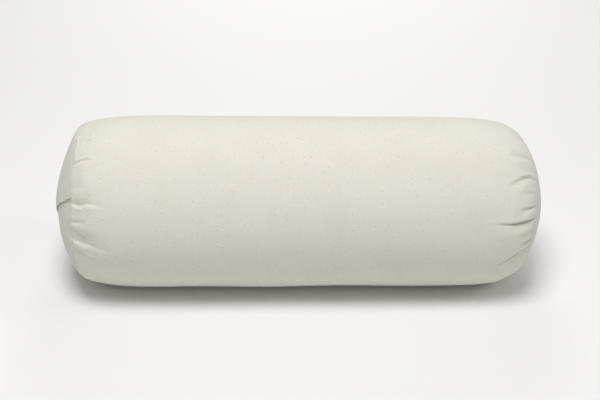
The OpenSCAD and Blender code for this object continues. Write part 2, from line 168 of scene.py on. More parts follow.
# %% A grid of points becomes a panel
def grid_panel(name, points, uv, wrap=False, pole=None):
    """points is rows x columns x 3, and its faces look along (down the rows) x (along them)."""
    rows, columns = points.shape[:2]
    across = columns if wrap else columns - 1
    i, j = (a.ravel() for a in np.meshgrid(np.arange(rows - 1), np.arange(across),
                                           indexing="ij"))
    k = (j + 1) % columns
    quads = np.stack([i * columns + j, (i + 1) * columns + j,
                      (i + 1) * columns + k, i * columns + k], -1).tolist()
    corners = np.stack([uv[i, j], uv[i + 1, j], uv[i + 1, j + 1], uv[i, j + 1]], 1)
    corners = corners.reshape(-1, 2)
    vertices = points.reshape(-1, 3).tolist()
    if pole is not None:
        last = (rows - 1) * columns
        quads += [(last + c, len(vertices), last + (c + 1) % columns) for c in range(columns)]
        vertices.append(tuple(pole[0]))
        tips = [(uv[-1, c], pole[1], uv[-1, c + 1]) for c in range(columns)]
        corners = np.concatenate([corners, np.array(tips).reshape(-1, 2)])
    mesh = bpy.data.meshes.new(name)
    mesh.from_pydata(vertices, [], quads)
    layer = mesh.uv_layers.new(name="cloth")
    layer.data.foreach_set("uv", corners.astype(np.float32).ravel())
    mesh.polygons.foreach_set("use_smooth", [True] * len(mesh.polygons))
    return show(name, mesh)


def give_thickness(piece, thickness):
    """The panel's faces are the cloth's outer face, so its thickness goes inwards."""
    solid = piece.modifiers.new("cloth thickness", "SOLIDIFY")
    solid.thickness = thickness
    solid.offset = -1
    corners = sum(len(face.vertices) - 2 for face in piece.data.polygons)
    print("%s: about %d triangles" % (piece.name, 2 * corners))


# %% [markdown]
# ## How a sewn end gathers
#
# The tube's edge is 723 mm round, and it is sewn to a disc whose edge is shorter, so the
# machine feeds it in with small gathers. These can be sculpted, drawn by a formula, or found by
# cloth simulation. Simulation is used for their general lie, because it shows where cloth under
# pressure buckles: a plain tube and two flat discs are joined by sewing springs, and pressure
# fills them. It starts from a few pressed dents, where the gathers should begin.

# %% The flat pattern to be sewn
COLUMNS = 144
SIM_ROWS = 119
FIRST_ANGLE = -3 * math.pi / 4
PATTERN_DISC = 0.108
PATTERN_GAP = 0.001
DENT_DEPTH = 0.003
DENT_WIDTH = 2.2
DENT_REACH = 0.03
MOUTH_GATHERS = [27, 15, 4, -6, -12]
CLOSED_GATHERS = [63, 46, 22, 11, -5, -14, -34]
HIDDEN_GATHERS = 12


def unit_disc(side):
    """A square grid bent into a disc, so that its edge has evenly spaced points."""
    line = np.linspace(-1, 1, side + 1)
    a, b = np.meshgrid(line, line, indexing="ij")
    wide = np.abs(a) > np.abs(b)
    r = np.where(wide, a, b)
    a1, b1 = np.where(a == 0, 1, a), np.where(b == 0, 1, b)
    angle = np.where(wide, math.pi / 4 * b / a1, math.pi / 2 - math.pi / 4 * a / b1)
    angle = np.where((a == 0) & (b == 0), 0, angle)
    return r * np.cos(angle), r * np.sin(angle)


def around(radius, angle):
    """A point's place across the body: angle 0 faces -Y and a quarter turn faces up."""
    return np.stack([-radius * np.cos(angle), radius * np.sin(angle)], -1)


def sewing_pattern():
    """The plain tube with its dents, from the mouth's row to the closed end's."""
    angle = FIRST_ANGLE + np.arange(COLUMNS) * 2 * math.pi / COLUMNS
    x = np.linspace(-SEAM_X, SEAM_X, SIM_ROWS + 1)
    tube = np.zeros((SIM_ROWS + 1, COLUMNS, 3))
    tube[..., 0] = x[:, None]
    tube[..., 1:] = around(BODY_RADIUS, angle)[None]
    rng = np.random.default_rng(7)
    for end, gathers in ((-1, MOUTH_GATHERS), (1, CLOSED_GATHERS)):
        hidden = list(rng.uniform(80, 310, HIDDEN_GATHERS))
        reach = np.exp(-((SEAM_X - end * x) / DENT_REACH) ** 2)
        for gather in gathers + hidden:
            off = (np.degrees(angle) - gather + 180) % 360 - 180
            dent = DENT_DEPTH * reach[:, None] * np.exp(-(off / DENT_WIDTH) ** 2)[None]
            tube[..., 1:] -= dent[..., None] * around(1.0, angle)[None]
    return tube


# %% Sew the pattern into one mesh
def sewn_mesh():
    points = list(sewing_pattern().reshape(-1, 3))
    faces, threads = [], []
    for i in range(SIM_ROWS):
        for j in range(COLUMNS):
            k = (j + 1) % COLUMNS
            faces.append((i * COLUMNS + j, (i + 1) * COLUMNS + j,
                          (i + 1) * COLUMNS + k, i * COLUMNS + k))
    side = COLUMNS // 4
    a, b = unit_disc(side)
    edge = ([(i, 0) for i in range(side)] + [(side, j) for j in range(side)]
            + [(i, side) for i in range(side, 0, -1)] + [(0, j) for j in range(side, 0, -1)])
    for end, row in ((-1, 0), (1, SIM_ROWS)):
        base = len(points)
        for i in range(side + 1):
            for j in range(side + 1):
                points.append((end * (SEAM_X + PATTERN_GAP),
                               -PATTERN_DISC * a[i, j], PATTERN_DISC * b[i, j]))
        at = lambda i, j: base + i * (side + 1) + j
        for i in range(side):
            for j in range(side):
                quad = (at(i, j), at(i + 1, j), at(i + 1, j + 1), at(i, j + 1))
                faces.append(quad if end < 0 else quad[::-1])
        for i, j in edge:
            turn = math.atan2(b[i, j], a[i, j]) - FIRST_ANGLE
            column = int(round(turn / (2 * math.pi / COLUMNS))) % COLUMNS
            threads.append((row * COLUMNS + column, at(i, j)))
    mesh = bpy.data.meshes.new("sewing pattern")
    mesh.from_pydata([tuple(p) for p in points], threads, faces)
    return mesh


# %% [markdown]
# The simulation runs for ten frames only. Left longer, the sewing springs pull the ends in
# further than real thread does. What is kept is not the simulated shape but how far each point
# strays from the mean of its row: those gathers are then laid on the CAD profile, which has the
# true size.

# %% Simulate the filling of the cover
SIM_FRAMES = 10
CLOTH_SETTINGS = {"quality": 6, "mass": 0.2, "tension_stiffness": 40,
                  "compression_stiffness": 40, "shear_stiffness": 10, "bending_stiffness": 4,
                  "use_pressure": True, "uniform_pressure_force": 4,
                  "use_sewing_springs": True, "air_damping": 2}


def simulated_gathers():
    """How far each point of the filled tube strays from the mean radius of its row."""
    mesh, scene = sewn_mesh(), bpy.context.scene
    pillow = show("sewing pattern", mesh)
    cloth = pillow.modifiers.new("filling", "CLOTH")
    for key, value in CLOTH_SETTINGS.items():
        setattr(cloth.settings, key, value)
    cloth.settings.effector_weights.gravity = 0
    cloth.collision_settings.use_collision = False
    cloth.point_cache.frame_end = SIM_FRAMES
    for frame_number in range(1, SIM_FRAMES + 1):
        scene.frame_set(frame_number)
    done = pillow.evaluated_get(bpy.context.evaluated_depsgraph_get())
    flat = np.empty(len(done.data.vertices) * 3)
    done.data.vertices.foreach_get("co", flat)
    tube = flat.reshape(-1, 3)[:(SIM_ROWS + 1) * COLUMNS].reshape(SIM_ROWS + 1, COLUMNS, 3)
    radius = np.hypot(tube[..., 1], tube[..., 2])
    bpy.data.objects.remove(pillow)
    bpy.data.meshes.remove(mesh)
    scene.frame_set(1)
    return radius - radius.mean(1, keepdims=True)


gathers = simulated_gathers()
print("gathers stray by up to %.1f mm" % (1000 * np.abs(gathers).max()))


# %% [markdown]
# ## Reading the simulated gathers anywhere
#
# The finished tube is a finer grid than the simulated one, so the gathers are read between its
# points. Catmull-Rom weights keep them smooth; straight-line weights would leave facets. Each
# row is softened once first, which takes out the zigzag from one simulated point to the next.

# %% Smooth sampling of the gathers
def step(value, edge, soft):
    """0 well below the edge and 1 well above it, over a width of soft."""
    t = np.clip((value - edge) / soft + 0.5, 0, 1)
    return t * t * (3 - 2 * t)


def spline_weights(t):
    """Catmull-Rom weights of the four points around a place t of the way between two."""
    return (-0.5 * t + t * t - 0.5 * t ** 3, 1 - 2.5 * t * t + 1.5 * t ** 3,
            0.5 * t + 2 * t * t - 1.5 * t ** 3, -0.5 * t * t + 0.5 * t ** 3)


gathers = (gathers + 0.5 * (np.roll(gathers, 1, 1) + np.roll(gathers, -1, 1))) / 2


def read_gathers(x, angle):
    """The simulated gathers at places x along the body and angles round it (radians)."""
    row = np.clip((x + SEAM_X) / (2 * SEAM_X) * SIM_ROWS, 0, SIM_ROWS - 1e-6)
    column = ((angle - FIRST_ANGLE) / (2 * math.pi) * COLUMNS) % COLUMNS
    i, j = np.floor(row).astype(int), np.floor(column).astype(int)
    total = 0
    for di, wi in zip(range(-1, 3), spline_weights(row - i)):
        for dj, wj in zip(range(-1, 3), spline_weights(column - j)):
            total = total + wi * wj * gathers[np.clip(i + di, 0, SIM_ROWS), (j + dj) % COLUMNS]
    return total


# %% [markdown]
# ## The folds that show
#
# A few gathers are longer and deeper than the rest. Each is drawn as a valley that
# starts at the seam, wanders a little and dies out along the body, with a soft ridge on each
# side where the spare cloth stands up. Cloth rarely folds evenly: one wall is long and gentle
# and the other short and steep. So a fold is a path of places (distance from the seam in mm,
# angle round the body in degrees), its depth, and the widths of its upper and lower walls.

# %% Folds at the two ends
MOUTH_FOLDS = [
    ([(0, 28.2), (4, 27.8), (9, 26.8), (14, 27.0), (19, 28.4), (30, 27.8), (40, 27.0)],
     6.4, 7.0, 1.9),
    ([(0, 14.4), (10, 14.7), (22, 15.2)], 2.6, 2.2, 2.2),
    ([(0, 8.6), (9, 6.3), (16, 4.1), (24, 1.2), (30, -0.4)], 2.6, 1.8, 7.0),
    ([(0, 0.2), (10, -0.6), (21, -1.3), (34, -2.4), (50, -4.4)], 5.0, 10.0, 3.0),
    ([(0, -7.6), (11, -10.0), (20, -12.6), (34, -15.4)], 3.6, 2.2, 8.0),
    ([(0, 52.0), (12, 51.0), (30, 50.0)], 1.0, 3.5, 4.5),
    ([(0, 40.0), (12, 39.5), (26, 39.0)], 0.8, 4.0, 4.0),
    ([(0, -28.0), (14, -30.0), (34, -34.0)], 2.6, 3.6, 5.0),
    ([(0, 98.0), (12, 97.0), (30, 96.0)], 1.0, 3.0, 4.0),
    ([(0, 124.0), (14, 123.0), (30, 122.0)], 1.2, 4.0, 3.0),
    ([(0, 143.0), (10, 144.0), (26, 146.0)], 2.4, 2.5, 3.5),
    ([(0, 166.0), (16, 164.0), (44, 163.0)], 4.0, 5.0, 2.6),
    ([(0, 190.0), (12, 191.0), (30, 193.0)], 3.0, 3.0, 3.0),
]
CLOSED_FOLDS = [
    ([(0, 67.0), (12, 66.2), (22, 65.0), (32, 64.4)], 3.4, 2.0, 3.4),
    ([(0, 57.0), (16, 54.8), (38, 51.5)], 2.2, 4.0, 5.0),
    ([(0, 49.6), (7, 49.4), (14, 47.6), (24, 44.4), (40, 39.6)], 5.6, 1.5, 4.6),
    ([(0, 36.4), (12, 35.6), (22, 35.0)], 2.2, 2.0, 4.0),
    ([(0, 25.6), (7, 24.6), (14, 23.8), (21, 23.4)], 5.6, 1.2, 3.2),
    ([(0, 14.8), (13, 14.0), (27, 13.6), (41, 13.8), (58, 14.2)], 5.0, 1.8, 5.0),
    ([(0, 14.8), (13, 14.0), (27, 13.6), (41, 13.8), (52, 14.2)], 5.4, 0.8, 1.1),
    ([(0, -1.6), (5, -2.4), (16, -3.6)], 7.0, 1.2, 2.6),
    ([(0, 5.0), (8, 4.0), (20, 2.4)], 2.0, 2.0, 3.6),
    ([(0, -9.0), (13, -10.2), (23, -12.6), (34, -15.6), (50, -19.4)], 4.0, 2.0, 9.0),
    ([(0, -9.0), (13, -10.2), (23, -12.6), (34, -15.6), (46, -18.4)], 7.4, 0.9, 1.3),
    ([(0, -28.0), (10, -31.8), (24, -36.0)], 2.2, 1.6, 3.0),
    ([(0, 84.0), (12, 85.0), (34, 86.0)], 1.4, 3.0, 4.0),
    ([(0, 107.0), (14, 105.0), (30, 104.0)], 1.2, 3.5, 2.6),
    ([(0, 132.0), (10, 133.0), (28, 135.0)], 2.0, 3.0, 3.0),
    ([(0, 151.0), (16, 149.0), (48, 147.0)], 4.4, 4.6, 2.6),
    ([(0, 178.0), (12, 179.0), (30, 181.0)], 3.2, 2.6, 3.6),
    ([(0, 203.0), (14, 201.0), (36, 199.0)], 3.0, 3.0, 4.0),
]


def fold_field(u, angle, folds):
    """Height in metres that the folds add at distance u from the seam."""
    height = np.zeros(np.broadcast(u, angle).shape)
    for path, depth, upper, lower in folds:
        places = np.array(path, float)
        centre = np.interp(u * 1000, places[:, 0], places[:, 1])
        off = (np.degrees(angle) - centre + 180) % 360 - 180
        off = np.radians(off) * BODY_RADIUS * 1000
        along = np.clip(u * 1000 / places[-1, 0], 0, 1)
        fade = (0.42 + 0.58 * step(along, 0.12, 0.24)) * (1 - along) ** 0.9
        t = np.abs(off) / np.where(off > 0, upper, lower) / (1 + 0.6 * along)
        valley = 0.5 * np.exp(-1.3 * t) + 0.5 * np.exp(-t * t)
        ridge = 0.24 * np.exp(-((t - 2.3) / 1.0) ** 2)
        height += depth / 1000 * fade * (ridge - valley)
    return height


print("folds drawn: %d at the mouth end, %d at the closed end"
      % (len(MOUTH_FOLDS), len(CLOSED_FOLDS)))


# %% [markdown]
# ## The care label's print through the cloth
#
# The label is sewn into the seam inside the cover, so it can't be seen, but canvas pulled tight
# over it shows its outline. It is drawn as a plateau between one and two millimetres high, with a
# slanted lower edge and its lip, a fold above that, an upright crease beside the seam and one
# short crease near the top. Angles are in degrees and u is the distance from the seam.

# %% The label's outline pressed through
LABEL_LOW, LABEL_HIGH = 58.0, 84.0
LABEL_REACH = 0.026
LABEL_HEIGHT = 0.0018
LABEL_SLANT = 60


def label_field(u, angle):
    """Height in metres that the label's print adds."""
    degrees = np.degrees(angle)
    slanted = LABEL_LOW + LABEL_SLANT * u
    inside = (step(degrees, slanted, 0.8) * (1 - step(degrees, LABEL_HIGH, 1.6))
              * (1 - step(u, LABEL_REACH, 0.004)) * step(u, 0.0015, 0.002))
    fold = np.exp(-((degrees - slanted - 5.0) / 0.8) ** 2) * (1 - step(u, 0.018, 0.005))
    lip = (np.exp(-((degrees - slanted - 1.2) / 0.8) ** 2)
           - 0.8 * np.exp(-((degrees - slanted + 0.6) / 0.7) ** 2)) * (1 - step(u, 0.022, 0.006))
    upright = np.exp(-((u - 0.0045) / 0.0016) ** 2) * step(degrees, slanted, 1.0)
    upright = upright * (1 - step(degrees, LABEL_HIGH, 1.5))
    short = (np.exp(-((degrees - 74.6) / 0.55) ** 2)
             * step(u, 0.016, 0.002) * (1 - step(u, 0.025, 0.002)))
    curls = np.sin(700 * u + 0.30 * degrees) * np.sin(0.8 * degrees - 260 * u)
    return LABEL_HEIGHT * (0.8 * inside + 0.5 * fold + 0.6 * lip + 0.5 * upright - 1.1 * short
                           + 0.15 * inside * curls)


# %% [markdown]
# ## The tube's surface
#
# One function gives the radius of the finished tube anywhere: the CAD profile, plus the gathers
# and folds, plus a faint unevenness from the fibre inside. It is used again for the inner case
# and the filling, which follow the cover's dents, so that no layer cuts through another. The
# gathers are strongest near the seams, but the seam itself holds them, and nothing may dip or
# stand out so far that it leaves the CAD model's shape.

# %% Radius of the tube at a place
LUMP = 0.0005
GATHER_REACH = 0.055
SEAM_HOLD = 0.014
DEEPEST, PROUDEST = -0.0080, 0.004
ALLOWANCE_RISE, ALLOWANCE_WIDTH = 0.0003, 0.009
SEAM_GROOVE, SEAM_GROOVE_WIDTH = 0.0011, 0.0011
FLOOR_SOFT = 0.0022


def fibre_lumps(x, angle):
    """A few long waves with fixed phases: the filling is never quite even."""
    rng = np.random.default_rng(11)
    total = 0
    for _ in range(14):
        along = rng.uniform(8, 42)
        turns = rng.integers(1, 7)
        phase, twist = rng.uniform(0, 2 * math.pi, 2)
        total = total + np.sin(along * x + phase) * np.sin(turns * angle + twist)
    return LUMP * total / 2.2


def cover_radius(x, angle):
    """The finished tube's radius at places x along the body and angles round it."""
    u = SEAM_X - np.abs(x)
    near = np.exp(-(u / GATHER_REACH) ** 2)
    held = 0.25 + 0.75 * (1 - np.exp(-(u / SEAM_HOLD) ** 2))
    detail = read_gathers(x, angle) * (0.6 * near * held + 0.08)
    detail = detail + fibre_lumps(x, angle) * (1 - near * 0.5)
    detail = detail + np.where(x < 0, fold_field(u, angle, MOUTH_FOLDS) + label_field(u, angle),
                               fold_field(u, angle, CLOSED_FOLDS))
    across = (angle - LONG_SEAM + math.pi) % (2 * math.pi) - math.pi
    across = across * BODY_RADIUS
    long_seam_shape = (ALLOWANCE_RISE * np.exp(-(across / ALLOWANCE_WIDTH) ** 6)
                       - SEAM_GROOVE * np.exp(-(across / SEAM_GROOVE_WIDTH) ** 2))
    lean = np.where(x < 0, end_lean(angle, -1), end_lean(angle, 1)) * np.exp(-u / LEAN_REACH)
    return plain_radius(x) + (np.clip(detail, DEEPEST, PROUDEST) + long_seam_shape + lean)


def rest_on_floor(points, lift=0.0):
    """Presses what would go below the floor up to it, rounding the edge of the flat."""
    soft = FLOOR_SOFT
    z = points[..., 2] - lift
    raised = lift + 0.5 * (z + np.sqrt(z * z + soft * soft))
    raised = raised - 0.5 * soft * np.exp(-np.abs(z) / (4 * soft))
    points[..., 2] = np.maximum(raised, lift)
    return points


# %% Rows along the tube
FIRST_ROW, FINEST_ROW, COARSEST_ROW = 0.0004, 0.0016, 0.016
FINE_REACH, ROW_GROWTH = 0.046, 1.15


def tube_rows():
    """Distances from an end seam to mid-body: close where the cloth gathers, then wider."""
    rows, gap = [FIRST_ROW], FINEST_ROW
    while rows[-1] + gap < SEAM_X - COARSEST_ROW / 2:
        rows.append(rows[-1] + gap)
        if rows[-1] > FINE_REACH:
            gap = min(gap * ROW_GROWTH, COARSEST_ROW)
    return np.array(rows)


def surface_point(x, angle, sink=0.0):
    """A point on the tube, sunk straight in towards its axis."""
    radius = cover_radius(x, angle) - sink
    return np.concatenate([(x + 0 * angle)[..., None], around(radius, angle)], -1) + AXIS


# Columns round the tube, from one side of the long seam to the other: each stretch runs from its
# angle in degrees to the next one's, and is finest where the folds are
SEAM_DEGREES = math.degrees(LONG_SEAM)
STRETCHES = [(SEAM_DEGREES - 360, 48), (-52, 48), (-24, 140), (32, 116), (100, 84)]
starts = [degrees for degrees, _ in STRETCHES] + [SEAM_DEGREES]
tube_angles = np.concatenate([
    np.radians(np.linspace(low, high, count, endpoint=False))
    for (low, count), high in zip(STRETCHES, starts[1:])])
half_rows = tube_rows()
print("the tube has %d rows and %d columns" % (2 * len(half_rows), len(tube_angles)))


# %% [markdown]
# ## The cover's tube
#
# At each end the canvas turns in to its seam, which leaves the small groove that a sewn edge
# always has, and then lies back inside as the seam's allowance. Each end's rows are given as
# (distance from the seam, depth below the surface), walking from the hidden edge outwards.

# %% Build the cover's tube
SEAM_TURN = [(0.0100, 0.0021), (0.0060, 0.0021), (0.0025, 0.0023), (0.0007, 0.0017),
             (0.0001, 0.0009), (0.0000, 0.0003)]


def tube_places(turn, inner, sink):
    """Rows from one hidden edge to the other, as (x, depth below the surface)."""
    half = [(u, deep + sink) for u, deep in turn] + [(u, sink) for u in inner]
    return np.array([(-SEAM_X + u, deep) for u, deep in half]
                    + [(SEAM_X - u, deep) for u, deep in half[::-1]])


def tube_panel(name):
    rows = tube_places(SEAM_TURN, half_rows, 0.0)
    x, angle = np.meshgrid(rows[:, 0], tube_angles, indexing="ij")
    points = rest_on_floor(surface_point(x, angle, rows[:, 1:2]))
    travel = np.append(0, np.cumsum(np.linalg.norm(np.diff(rows, axis=0), axis=1)))
    turn_length = np.append(tube_angles, LONG_SEAM) * BODY_RADIUS
    uv = np.stack(np.meshgrid(travel, turn_length, indexing="ij"), -1)
    return grid_panel(name, points, uv, wrap=True)


cover_tube = tube_panel("cover_tube_canvas")
give_thickness(cover_tube, CLOTH)


# %% [markdown]
# ## The ends' domes
#
# Each end is part of a sphere that meets the tube at the seam. Its rim follows the tube's own
# uneven edge, since the two are sewn together, and the gathers carry on across the seam for a
# few millimetres before the smooth panel swallows them. The rim then turns in beside the tube's
# own allowance, in rows given as (distance along the tube, depth below it).

# %% Places on an end
RIM_TURN = [(0.0100, 0.0031), (0.0060, 0.0031), (0.0028, 0.0034), (0.0010, 0.0027),
            (0.0001, 0.0017)]
RIM_GAP = 0.0009
GATHER_SHARE, GATHER_FADE = 0.25, 0.006
SHIFT_FADE = 0.012


def ring_shift(angle, end):
    """How far the tube's uneven edge is from the end's plain ring."""
    return cover_radius(np.full_like(angle, end * SEAM_X), angle) - end_shape(end)[0]


def end_field(r, angle, end):
    """Height of the folds and lumps on an end, at a distance r from the axis."""
    ring = end_shape(end)[0]
    inward = np.clip(ring - r, 0, None)
    height = 0.0
    for path, depth, upper, lower in (MOUTH_FOLDS if end < 0 else CLOSED_FOLDS):
        off = (np.degrees(angle) - path[0][1] + 180) % 360 - 180
        off = np.radians(off) * ring * 1000
        off = np.abs(off) / np.where(off > 0, upper, lower)
        height = height - (GATHER_SHARE * depth / 1000 * np.exp(-inward / GATHER_FADE)
                           * np.exp(-off ** 1.5))
    lumps = LUMP * (np.sin(46 * r + 2 * angle + end) + np.sin(31 * r - 3 * angle + 2))
    return height + lumps * np.clip(inward / 0.02, 0, 1) * step(r, 0.018, 0.036)


def end_point(r, angle, end, sink=0.0):
    """A point on an end's dome, sunk towards the sphere's middle."""
    ring, sphere, centre = end_shape(end)
    tilt = np.arcsin(np.clip(r / sphere, -1, 1))
    out = sphere - sink + end_field(r, angle, end)
    lean = end_lean(angle, end)
    shift = (ring_shift(angle, end) - lean) * np.exp(-(ring - r) / SHIFT_FADE)
    shift = shift + lean * np.clip(r / ring, 0, 1) ** 3
    x = end * (centre + out * np.cos(tilt))
    return np.concatenate([x[..., None], around(out * np.sin(tilt) + shift, angle)], -1) + AXIS


def rim_rows(angle, end, extra=0.0):
    """The rows that carry an end's rim into the seam."""
    return [surface_point(np.full_like(angle, end * (SEAM_X - u)), angle, deep + extra)
            for u, deep in RIM_TURN]


# %% [markdown]
# ## The closed end
#
# One disc of canvas closes the far end. Its rows are rings, closest together beside the seam,
# and its UV map is the flat disc it was cut from, so the weave runs straight across it.

# %% Build the closed end
END_COLUMNS = 300
RIM_ROWS, RIM_PITCH = 9, 0.0014
DISC_ROWS, POLE_GAP = 26, 0.0025


def disc_uv(r, angle):
    """Where a place on the dome was on the flat disc."""
    sphere = end_shape(1)[1]
    flat = sphere * np.arcsin(np.clip(r / sphere, -1, 1))
    return np.stack([-flat * np.cos(angle), flat * np.sin(angle)], -1)


def disc_panel(name, sink, rim_turn, rim, columns, thickness):
    """A disc sewn to the closed end of its tube, sunk below the cover's surface."""
    angles = np.arange(columns) * 2 * math.pi / columns
    radii = np.concatenate([rim - np.arange(RIM_ROWS) * RIM_PITCH,
                            np.linspace(rim - 10 * RIM_PITCH, POLE_GAP, DISC_ROWS)])
    full = np.full_like(angles, 1.0)
    rows = [surface_point(full * (SEAM_X - u), angles, deep) for u, deep in rim_turn]
    rows += [end_point(full * r, angles, 1, sink) for r in radii]
    flat = np.concatenate([rim + np.array([u for u, _ in rim_turn]), radii])
    again = np.append(angles, 2 * math.pi)
    uv = np.stack([disc_uv(np.full_like(again, r), again) for r in flat])
    middle = end_point(np.zeros(1), np.zeros(1), 1, sink)[0]
    disc = grid_panel(name, rest_on_floor(np.stack(rows), sink), uv, wrap=True,
                      pole=(middle, (0, 0)))
    give_thickness(disc, thickness)
    return disc


closed_end = disc_panel("closed_end_canvas", 0.0, RIM_TURN, end_shape(1)[0] - RIM_GAP,
                        END_COLUMNS, CLOTH)


# %% [markdown]
# ## The envelope mouth
#
# The other end opens like a pillow case's envelope: an outer flap laps over an inner one, and
# each has a hem turned under along its straight edge. A flap's rows run parallel to its edge
# near the hem and then fan out to the round rim. The cloth folds back on itself at the edge, as
# a real hem does, so that the edge has its true double thickness and casts a true shadow.

# %% Shape of a flap
HEM = 0.013
HEM_ROW = 0.011
FOLD_RADIUS = 0.0008
FOLD_INSET = 0.003
OUTER_EDGE = -0.016
INNER_EDGE = 0.049
INNER_SINK, INNER_RETURN = 0.0019, 0.0018
INNER_RIM_SINK = 0.0010
FLAP_COLUMNS = 181


def flap_place(a, b, side):
    """From the mouth's own frame, rolled about the axis, to polar places on the end."""
    return np.hypot(a, b), np.arctan2(side * b, -a) + MOUTH_ROLL


def outer_rise(a, b):
    """The hem's second ply and its thread press through, and its edge stands a little off."""
    past = b - OUTER_EDGE
    ply = 0.0003 * (1 - step(past, HEM, 0.0016))
    thread = -0.0006 * np.exp(-((past - HEM_ROW) / 0.0011) ** 2)
    gape = 0.0002 * np.exp(-(past / 0.010) ** 2) * np.clip(1.3 - (a / 0.094) ** 4, 0, 1)
    wave = 0.0004 * np.sin(a * 95 + 1.2) * np.exp(-(past / 0.02) ** 2)
    return ply + thread + gape + wave


def inner_rise(a, b):
    """Pressed under the outer flap, and nearly level with it beyond the opening."""
    beyond = step(b, -OUTER_EDGE + 0.016, 0.030)
    return -INNER_SINK + INNER_RETURN * beyond


# %% Build a flap
HEM_BACK = (HEM - FOLD_RADIUS, 0.008, 0.004, 0.0015)
RIM_STEP = 1.02


def flap_panel(name, edge, side, rise, sink_rim):
    """side 1 keeps what is above the edge, and -1 what is below it.

    The rows start at the hem's hidden raw edge, come forward under the flap, turn round the
    fold, and then spread over the flap until the last of them lies on the rim."""
    start = side * edge + FOLD_RADIUS
    t = np.linspace(-1, 1, FLAP_COLUMNS)
    limit = end_shape(-1)[0] - RIM_GAP
    half = math.sqrt(limit ** 2 - start ** 2)
    swing = math.pi / 2 - math.asin(start / limit)
    rows, flats = [], []

    def add(a, b, depth):
        r, angle = flap_place(a, b, side)
        r = np.minimum(r, limit)
        height = rise(a, b) - depth
        rows.append(end_point(r, angle, -1, -height))
        flats.append(np.stack([a, side * b - depth], -1))

    for back in HEM_BACK:
        width = math.sqrt(limit ** 2 - (start + back) ** 2) - FOLD_INSET
        add(t * width, np.full_like(t, start + back), 2 * FOLD_RADIUS)
    for turn in np.linspace(math.pi, 0, 7):
        inset = FOLD_INSET * (turn / math.pi)
        add(t * (half - inset), np.full_like(t, start - FOLD_RADIUS * math.sin(turn)),
            FOLD_RADIUS * (1 - math.cos(turn)))
    reach = limit - start
    steps = np.concatenate([np.arange(1, 17) * 0.001, np.linspace(0.019, reach - 0.008, 16),
                            reach - np.array([0.006, 0.0044, 0.003, 0.0015, 0])])
    for s in steps / reach:
        bearing = math.pi / 2 - t * swing
        a = (1 - s) * t * half + s * limit * np.cos(bearing)
        b = (1 - s) * start + s * limit * np.sin(bearing)
        add(a, b, 0.0)
    angle = flap_place(limit * np.cos(bearing), limit * np.sin(bearing), side)[1]
    for row in rim_rows(angle, -1, sink_rim)[::-1]:
        rows.append(row)
        flats.append(flats[-1] * RIM_STEP)
    points, flat = rest_on_floor(np.stack(rows)), np.stack(flats)
    if side < 0:
        points, flat = points[:, ::-1], flat[:, ::-1]
    return grid_panel(name, points, flat)


outer_flap = flap_panel("outer_flap_canvas", OUTER_EDGE, 1, outer_rise, 0.0)
inner_flap = flap_panel("inner_flap_canvas", INNER_EDGE, -1, inner_rise, INNER_RIM_SINK)
for flap in (outer_flap, inner_flap):
    give_thickness(flap, CLOTH)


# %% [markdown]
# ## The care label
#
# The label is a strip of satin tape, caught in the seam under all the plies. It follows the
# cover's inner face, so it is made from the same surface, only deeper: under the plies of the
# seam it lies at one depth, and then it rises to lie against the canvas.

# %% Build the label
LABEL_THICKNESS = 0.00025
SEAM_DEPTH, CANVAS_DEPTH = 0.0038, 0.0011
RISE_PLACE, RISE_WIDTH = 0.0145, 0.008
label_u = np.linspace(0.0012, 0.0246, 20)
label_angle = np.radians(np.linspace(LABEL_LOW + 0.5, LABEL_HIGH - 0.5, 30))
u, angle = np.meshgrid(label_u, label_angle, indexing="ij")
rise = step(u, RISE_PLACE, RISE_WIDTH)
label_depth = SEAM_DEPTH + (CANVAS_DEPTH - SEAM_DEPTH) * rise
points = surface_point(-SEAM_X + u, angle, label_depth)
flat = np.stack([u, angle * BODY_RADIUS], -1)
care_label = grid_panel("care_label_tape", points, flat)
give_thickness(care_label, LABEL_THICKNESS)


# %% [markdown]
# ## The inner pillow's case and its filling
#
# These are sealed inside, but they are real pieces, and they must give way where the cover is
# folded deepest. So the muslin tube and the fibre core are made again from the cover's own
# surface, sunk to the depths that the CAD model gives them, and pressed in only where a fold
# would otherwise touch them. The core's mouth face keeps the CAD model's gentle curve, behind
# the zip.

# %% Build the case's tube
def tube_depth(node):
    """How far below the cover's surface a CAD piece of the inner pillow lies."""
    low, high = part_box(node)
    return BODY_RADIUS - float(high[1] - low[1]) / 2


CASE_DEPTH = tube_depth("case_tube")
CASE_TURN = [(0.0120, 0.0012), (0.0070, 0.0012), (0.0040, 0.0012), (0.0032, 0.0006)]
CASE_ROOM, CORE_ROOM = 0.0026, 0.0030
CASE_PLY, CASE_RIM_GAP, CASE_COLUMNS = 0.0009, 0.0024, 150


def pressed_radius(x, angle, depth, room):
    """A plain tube at a depth, dented where the cover dips further than the room above it."""
    plain = plain_radius(x)
    dent = cover_radius(x, angle) - plain
    return plain - depth + np.minimum(dent + room, 0)


def case_panel(name):
    inner = half_rows[half_rows > CASE_TURN[-1][0]][::2]
    rows = tube_places(CASE_TURN, inner, CASE_DEPTH)
    columns = tube_angles[::2]
    x, angle = np.meshgrid(rows[:, 0], columns, indexing="ij")
    radius = pressed_radius(x, angle, rows[:, 1:2], CASE_ROOM)
    points = np.concatenate([x[..., None], around(radius, angle)], -1) + AXIS
    uv = np.stack(np.meshgrid(rows[:, 0], np.append(columns, LONG_SEAM) * BODY_RADIUS,
                              indexing="ij"), -1)
    return grid_panel(name, rest_on_floor(points, CASE_DEPTH), uv, wrap=True)


case_tube = case_panel("case_tube_muslin")
give_thickness(case_tube, MUSLIN)
case_rim = [(u, deep + CASE_DEPTH + CASE_PLY) for u, deep in CASE_TURN[:3]]
case_end = disc_panel("case_end_muslin", CASE_DEPTH, case_rim, end_shape(1)[0] - CASE_RIM_GAP,
                      CASE_COLUMNS, MUSLIN)


